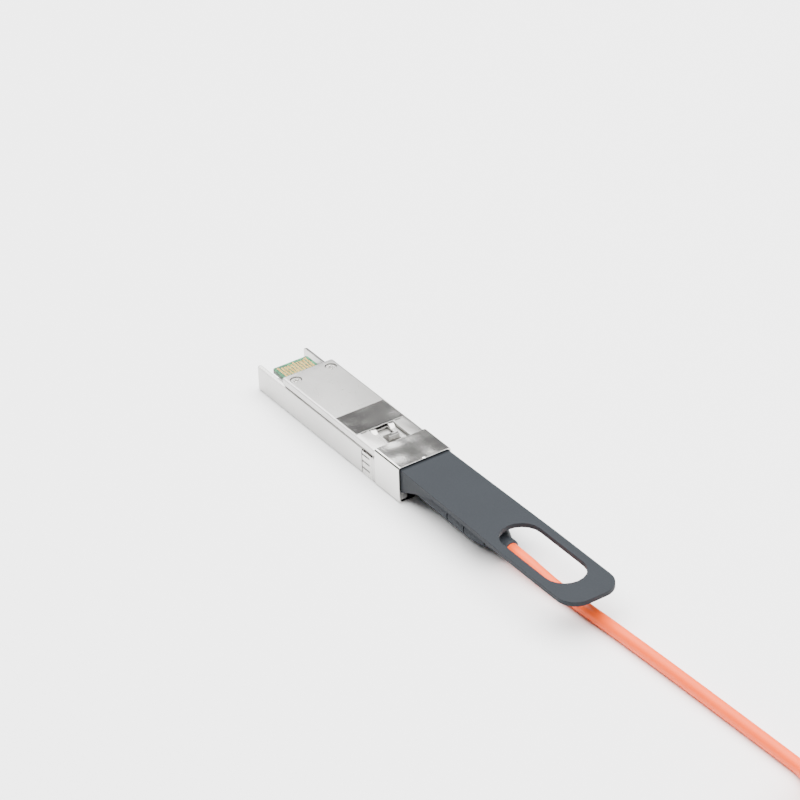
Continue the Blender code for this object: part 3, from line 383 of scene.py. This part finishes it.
def ease_edges(obj, width):
    """Rounds the hard edges and shades the rest smooth, with modifiers only."""
    for polygon in obj.data.polygons:
        polygon.use_smooth = True
    weld = obj.modifiers.new("Weld", "WELD")
    weld.merge_threshold = 2e-6
    flat = obj.modifiers.new("Flat faces", "DECIMATE")
    flat.decimate_type = "DISSOLVE"
    flat.angle_limit = math.radians(0.6)
    edges = obj.modifiers.new("Edges", "BEVEL")
    edges.width = width
    edges.segments = 3
    edges.limit_method = "ANGLE"
    edges.angle_limit = math.radians(34)
    normals = obj.modifiers.new("Normals", "WEIGHTED_NORMAL")
    normals.weight = 100


# The width of each node's eased edges, in millimetres, on both transceivers. The rest stay sharp.
EDGE = {
    "pull_tab": 0.22,
    "lower_housing": 0.12,
    "latch_cover": 0.1,
    "nose_sleeve": 0.05,
    "contact_collar": 0.03,
    "release_slide": 0.05,
    "slide_retainer": 0.04,
    "strain_relief_boot": 0.12,
    "main_board": 0.04,
    "cable_clamp": 0.06,
    "ferrule_clip": 0.03,
    "lens_block": 0.06,
    "driver_chip": 0.05,
    "microcontroller": 0.05,
    "cover_screw_left": 0.04,
    "cover_screw_right": 0.04,
    "crimp_ring": 0.04,
    "thermal_pad": 0.08,
}

far_low, far_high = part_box("far_main_board")
far_board = board("far board green", (far_low.y, (far_low.x + far_high.x) / 2))

for name, node in nodes.items():
    dress(node, far_board if name == "far_main_board" else FINISHES[SLOT_OF[name]])
    width = EDGE.get(name.removeprefix("far_"))
    if width:
        ease_edges(node, width * MM)
    else:
        for polygon in node.data.polygons:
            polygon.use_smooth = False


# ---------------------------------------------------------------- pieces


def piece(name, data, slot):
    """An object of this mesh or curve, on the module's body."""
    made = bpy.data.objects.new(name, data)
    bpy.context.scene.collection.objects.link(made)
    data.materials.append(FINISHES[slot])
    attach(made, "module")
    return made


def mesh_of(name, working, smooth=False):
    """A mesh made from a bmesh, which is freed."""
    for face in working.faces:
        face.smooth = smooth
    mesh = bpy.data.meshes.new(name)
    working.to_mesh(mesh)
    working.free()
    return mesh


def bridge(working, rows, closed):
    """Faces between each row of points and the next. Closed rows are rings."""
    rows = [[working.verts.new(point) for point in row] for row in rows]
    for first, second in zip(rows, rows[1:]):
        for i in range(len(first) if closed else len(first) - 1):
            ahead = (i + 1) % len(first)
            working.faces.new((first[i], first[ahead], second[ahead], second[i]))
    return rows


def box_mesh(name, boxes):
    """One mesh of separate boxes, each given as its low and high corner."""
    working = bmesh.new()
    for low, high in boxes:
        size = [b - a for a, b in zip(low, high)]
        middle = [(a + b) / 2 for a, b in zip(low, high)]
        made = bmesh.ops.create_cube(working, size=1.0)["verts"]
        bmesh.ops.scale(working, vec=size, verts=made)
        bmesh.ops.translate(working, vec=middle, verts=made)
    return mesh_of(name, working)


def edge_pads():
    """The near card edge's contacts, the outer and middle ones longer, and a row of vias behind them."""
    low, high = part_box("main_board")
    middle = (low.x + high.x) / 2
    half_pad, half_via, sunk, proud = 0.28 * MM, 0.13 * MM, 0.01 * MM, 0.035 * MM
    near_via, far_via = 5.9 * MM, 6.3 * MM  # from the board's tip
    boxes = []
    for bottom, top in ((low.z - proud, low.z + sunk), (high.z - sunk, high.z + proud)):
        for i in range(PADS):
            x = middle + (i - (PADS - 1) / 2) * PAD_PITCH
            longer = 0.5 * MM if i in (0, PADS // 2, PADS - 1) else 0.0
            start, end = high.y - PAD_BACK - longer, high.y - PAD_TIP + longer
            via = high.y - (far_via if i % 2 else near_via)
            boxes.append(((x - half_pad, start, bottom), (x + half_pad, end, top)))
            boxes.append(((x - half_via, via - half_via, bottom), (x + half_via, via + half_via, top)))
    piece("edge_pads", box_mesh("edge_pads", boxes), "gold")


def sleeve_nib(prefix, outward):
    """The small raised nib at the middle of the sleeve's front edge, which faces -Y or +Y."""
    name = prefix + "sleeve_nib"
    half_size = (0.55 * MM, 0.32 * MM, 0.14 * MM)
    from_rim, sunk = 0.36 * MM, 0.02 * MM
    low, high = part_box(prefix + "nose_sleeve")
    rim = low.y if outward < 0 else high.y
    middle = ((low.x + high.x) / 2, rim - outward * from_rim, high.z - sunk)
    working = bmesh.new()
    bmesh.ops.create_uvsphere(working, u_segments=20, v_segments=12, radius=1.0)
    bmesh.ops.scale(working, vec=half_size, verts=working.verts)
    bmesh.ops.translate(working, vec=middle, verts=working.verts)
    return piece(name, mesh_of(name, working, smooth=True), "bright_nickel")


edge_pads()
sleeve_nib("", -1)
far_nib = sleeve_nib("far_", 1)


# ---------------------------------------------------------------- cable: one curve from boot to boot

# In millimetres, from the near nose. The fold is a flat coil of straight runs and half turns, in layers
# of an outer and an inner column.
LAYER = 3.05  # from one layer to the next
OUTER = 12.25  # the half turns' radius in the outer column
INNER = 9.2  # and in the inner one
STRAIGHT = 25.08
MIDDLE_X = 6.2
NEAR_TURN_Y = -141.8
FAR_TURN_Y = NEAR_TURN_Y - STRAIGHT
FLOOR_TURN_Z = 2.07  # the lowest layer's height
CROSSING = 14 / STRAIGHT  # the share of a straight run in which the cable changes column
FOLD_RUNS = 29  # straight runs and half turns, taken in turn
STEPS_A_RUN = 16
FAR_NOSE = -245.0
FAR_BOOT_END = FAR_NOSE + 31.5
FAR_HOLE_END = FAR_NOSE + 54.7  # the outer end of the far tab's finger hole, which the cable goes down into
OVER_TAB = 10.15  # the cable's height where it crosses the end of the far tab
SIDESTEP = 30  # the length in which the way out moves over to the boot's axis
BOOT_AXIS = 3.1

# The run that the photo shows, from the near boot's end to where it leaves the view.
SEEN = [
    (0, -31.5, BOOT_AXIS),
    (0.02, -37, 2.97),
    (0.1, -40.5, 2.62),
    (0.35, -45, 2.05),
    (0.75, -50, 1.64),
    (1.15, -56, 1.51),
    (1.6, -65, 1.5),
    (2.05, -76, 1.5),
    (2.45, -88, 1.5),
    (2.8, -100, 1.5),
    (3.1, -111, 1.5),
    (3.25, -117.5, 1.5),
    (3.3, -121, 1.5),
]

# Where the winding changes column (in or out) or layer (up), as the runs that it starts and ends in.
CHANGES = [
    (3 - CROSSING, 3, "in"),
    (6.5 - CROSSING / 2, 6.5 + CROSSING / 2, "up"),
    (10, 10 + CROSSING, "out"),
    (13.25, 13.75, "up"),
    (17 - CROSSING, 17, "in"),
    (20.5 - CROSSING / 2, 20.5 + CROSSING / 2, "up"),
    (24, 24 + CROSSING, "out"),
    (27.3, 27.8, "up"),
]


def ease(t):
    """0 to 1 with a level start and end."""
    return 0.5 - 0.5 * math.cos(math.pi * min(1, max(0, t)))


def on_fold(runs):
    """A point of the fold, this many straight runs and half turns from its start."""
    half, height = OUTER, FLOOR_TURN_Z
    for start, end, way in CHANGES:
        share = ease((runs - start) / (end - start))
        if way == "up":
            height += LAYER * share
        else:
            half += (INNER - OUTER) * share * (1 if way == "in" else -1)
    along = min(runs, FOLD_RUNS - 1e-7) % 4
    if along < 1:
        return Vector((MIDDLE_X - half, NEAR_TURN_Y - STRAIGHT * along, height))
    if along < 2:
        angle = math.pi * along
        return Vector((MIDDLE_X + half * math.cos(angle), FAR_TURN_Y + half * math.sin(angle), height))
    if along < 3:
        return Vector((MIDDLE_X + half, FAR_TURN_Y + STRAIGHT * (along - 2), height))
    angle = math.pi * (along - 3)
    return Vector((MIDDLE_X + half * math.cos(angle), NEAR_TURN_Y + half * math.sin(angle), height))


def lead_in():
    """From the end of the seen run to the start of the fold's first straight run."""
    start, end = Vector(SEEN[-1]), Vector((MIDDLE_X - OUTER, NEAR_TURN_Y, FLOOR_TURN_Z))
    steps = 12
    for i in range(1, steps + 1):
        share = i / steps
        y = start.y + (end.y - start.y) * share
        eased = start.lerp(end, ease(share))
        yield Vector((eased.x, y, eased.z))


def way_out():
    """From the top of the fold over the end of the far tab, and down through its hole into the far boot."""
    top = FLOOR_TURN_Z + 4 * LAYER
    steps = 16
    for i in range(1, steps + 1):
        y = FAR_TURN_Y + (FAR_BOOT_END - FAR_TURN_Y) * i / steps
        x = MIDDLE_X - OUTER + OUTER * ease((FAR_TURN_Y - y) / SIDESTEP)
        if y >= FAR_HOLE_END:
            share = ease((FAR_TURN_Y - y) / (FAR_TURN_Y - FAR_HOLE_END))
            z = top + (OVER_TAB - top) * share
        else:
            share = ease((FAR_HOLE_END - y) / (FAR_HOLE_END - FAR_BOOT_END))
            z = OVER_TAB + (BOOT_AXIS - OVER_TAB) * share
        yield Vector((x, y, z))


def cable_route():
    """The whole cable: seen run, way in to the fold, fold, and way out."""
    steps = FOLD_RUNS * STEPS_A_RUN
    fold = [on_fold(FOLD_RUNS * i / steps) for i in range(1, steps + 1)]
    return [Vector(point) for point in SEEN] + [*lead_in(), *fold, *way_out()]


def smooth(points, spacing):
    """Points at about the spacing along a Catmull-Rom curve through the given points."""
    padded = [points[0] * 2 - points[1]] + points + [points[-1] * 2 - points[-2]]
    out = [points[0]]
    for p0, p1, p2, p3 in zip(padded, padded[1:], padded[2:], padded[3:]):
        steps = max(1, round((p2 - p1).length / spacing))
        for i in range(1, steps + 1):
            t = i / steps
            square = (2 * p0 - 5 * p1 + 4 * p2 - p3) * t**2
            cube = (3 * p1 - p0 - 3 * p2 + p3) * t**3
            out.append(0.5 * (2 * p1 + (p2 - p0) * t + square + cube))
    return out


def tube(name, points, radius):
    """A round tube along the points, as curve data."""
    curve = bpy.data.curves.new(name, "CURVE")
    curve.dimensions = "3D"
    curve.bevel_depth = radius
    curve.bevel_resolution = 5
    curve.use_fill_caps = True
    spline = curve.splines.new("POLY")
    spline.points.add(len(points) - 1)
    for point, position in zip(spline.points, points):
        point.co = (*position, 1)
    spline.use_smooth = True
    return curve


def in_row(point):
    """A point in millimetres from the near nose, in metres in the frame."""
    return Vector((point.x * MM, point.y * MM + NOSE_Y, point.z * MM))


route = [in_row(point) for point in smooth(cable_route(), 0.8)]
fibre_cable = piece("fibre_cable", tube("fibre_cable", route, 1.5 * MM), "orange_jacket")
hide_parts("cable", "far_cable", "cable_hank")


# ---------------------------------------------------------------- strap round the fold

STRAP_THICKNESS = 0.19 * MM
STRAP_INSET = 0.305 * MM  # keeps the strap and its lap within the band of the CAD tie
STRAP_LAP = 0.2 * MM


def strap_loop(low, high):
    """The strap's middle line as x and z: round the fold, then lapped up the side and over the top."""
    corner = 1.9 * MM
    x0, x1 = low.x + STRAP_INSET, high.x - STRAP_INSET
    z0, z1 = low.z + STRAP_INSET, high.z - STRAP_INSET
    width, height = x1 - x0, z1 - z0

    def arc(x, z, start, radius=corner):
        angles = [math.radians(start + turn) for turn in range(0, 91, 15)]
        return [(x + radius * math.cos(angle), z + radius * math.sin(angle)) for angle in angles]

    loop = arc(x1 - corner, z1 - corner, 0)
    loop += arc(x0 + corner, z1 - corner, 90)
    loop += arc(x0 + corner, z0 + corner, 180)
    loop += arc(x1 - corner, z0 + corner, 270)
    loop += [(x1, z0 + height * t) for t in (0.3, 0.45, 0.6)]
    loop += [(x1 + STRAP_LAP * ease(t), z0 + height * (0.6 + 0.12 * t)) for t in (0.5, 1.0)]
    loop += arc(x1 - corner, z1 - corner, 0, corner + STRAP_LAP)
    loop += [(x1 - width * t, z1 + STRAP_LAP) for t in (0.2, 0.34)]
    loop += [(x1 - width * 0.4, z1 + STRAP_LAP * 0.9)]
    return loop


def strap_mesh():
    """A flat band round the fold, with its tail lapped over the side."""
    low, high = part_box("hank_tie")
    across = 8
    levels = [low.y + (high.y - low.y) * j / across for j in range(across + 1)]
    working = bmesh.new()
    bridge(working, [[(x, y, z) for y in levels] for x, z in strap_loop(low, high)], closed=False)
    bmesh.ops.recalc_face_normals(working, faces=working.faces)
    return mesh_of("hank_strap", working, smooth=True)


hank_strap = piece("hank_strap", strap_mesh(), "tie")
sheet = hank_strap.modifiers.new("Thickness", "SOLIDIFY")
sheet.thickness = STRAP_THICKNESS
sheet.offset = 0
rounding = hank_strap.modifiers.new("Edges", "BEVEL")
rounding.width = 0.04 * MM
rounding.segments = 2
rounding.limit_method = "ANGLE"
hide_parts("hank_tie")


# ---------------------------------------------------------------- return springs


def coil_rings(low, high, wire):
    """The rings of points round the wire of a spring that fills this box along Y."""
    turns, per_turn, sides = 7, 20, 8
    count = turns * per_turn
    middle = Vector(((low.x + high.x) / 2, 0, (low.z + high.z) / 2))
    radius = (high.z - low.z) / 2 - wire
    length = high.y - low.y - 2 * wire
    points = []
    for i in range(count + 1):
        angle = 2 * math.pi * i / per_turn
        y = low.y + wire + length * i / count
        points.append(Vector((middle.x + radius * math.cos(angle), y, middle.z + radius * math.sin(angle))))
    rings = []
    for i, point in enumerate(points):
        ahead = (points[min(i + 1, count)] - points[max(i - 1, 0)]).normalized()
        outward = (point - Vector((middle.x, point.y, middle.z))).normalized()
        side = ahead.cross(outward)
        angles = [2 * math.pi * k / sides for k in range(sides)]
        rings.append([point + (outward * math.cos(a) + side * math.sin(a)) * wire for a in angles])
    return rings


def spring_piece(node):
    """A finer coil than the CAD node's, filling the same box, in the CAD node's place."""
    low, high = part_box(node)
    working = bmesh.new()
    rows = bridge(working, coil_rings(low, high, 0.12 * MM), closed=True)
    working.faces.new(rows[0])
    working.faces.new(rows[-1])
    bmesh.ops.recalc_face_normals(working, faces=working.faces)
    made = piece(node + "_coil", mesh_of(node + "_coil", working, smooth=True), "spring_steel")
    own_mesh(made)
    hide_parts(node)
    return made


for side in ("left", "right"):
    spring_piece("return_spring_" + side)
    spring_piece("far_return_spring_" + side)


# ---------------------------------------------------------------- floor and light

FLOOR_HALF = 6  # metres
FLOOR_CORNERS = [(-1, -1), (1, -1), (1, 1), (-1, 1)]

floor_mesh = bpy.data.meshes.new("floor")
floor_mesh.from_pydata([(x * FLOOR_HALF, y * FLOOR_HALF, 0) for x, y in FLOOR_CORNERS], [], [(0, 1, 2, 3)])
floor_mesh.materials.append(floor_finish())
floor = bpy.data.objects.new("floor", floor_mesh)
bpy.context.scene.collection.objects.link(floor)
floor.location.z = -0.05 * MM  # just under the pieces that stand on it


def softbox(name, location, aim, size, power):
    """A rectangular light above the object, in metres and watts."""
    light = bpy.data.lights.new(name, "AREA")
    light.shape = "RECTANGLE"
    light.size, light.size_y = size
    light.energy = power
    made = bpy.data.objects.new(name, light)
    bpy.context.scene.collection.objects.link(made)
    made.location = location
    made.rotation_euler = (Vector(aim) - Vector(location)).to_track_quat("-Z", "Y").to_euler()


softbox("overhead", (0.15, 0.05, 1.1), (0, -0.03, 0), (2.2, 1.9), 110)

# White above and dark low down, which keeps the dark plastic dark and gives the metal an edge.
world = bpy.data.worlds.new("studio")
bpy.context.scene.world = world
world.use_nodes = True
tree = world.node_tree
background = tree.nodes["Background"]
where = tree.nodes.new("ShaderNodeTexCoord")
split = tree.nodes.new("ShaderNodeSeparateXYZ")
ramp = tree.nodes.new("ShaderNodeValToRGB")
ramp.color_ramp.elements[0].position = 0.42
ramp.color_ramp.elements[0].color = (0.06, 0.06, 0.065, 1)
ramp.color_ramp.elements[1].position = 0.72
ramp.color_ramp.elements[1].color = (1, 1, 1, 1)
tree.links.new(where.outputs["Generated"], split.inputs["Vector"])
tree.links.new(split.outputs["Z"], ramp.inputs["Fac"])
tree.links.new(ramp.outputs["Color"], background.inputs["Color"])
background.inputs["Strength"].default_value = 0.7
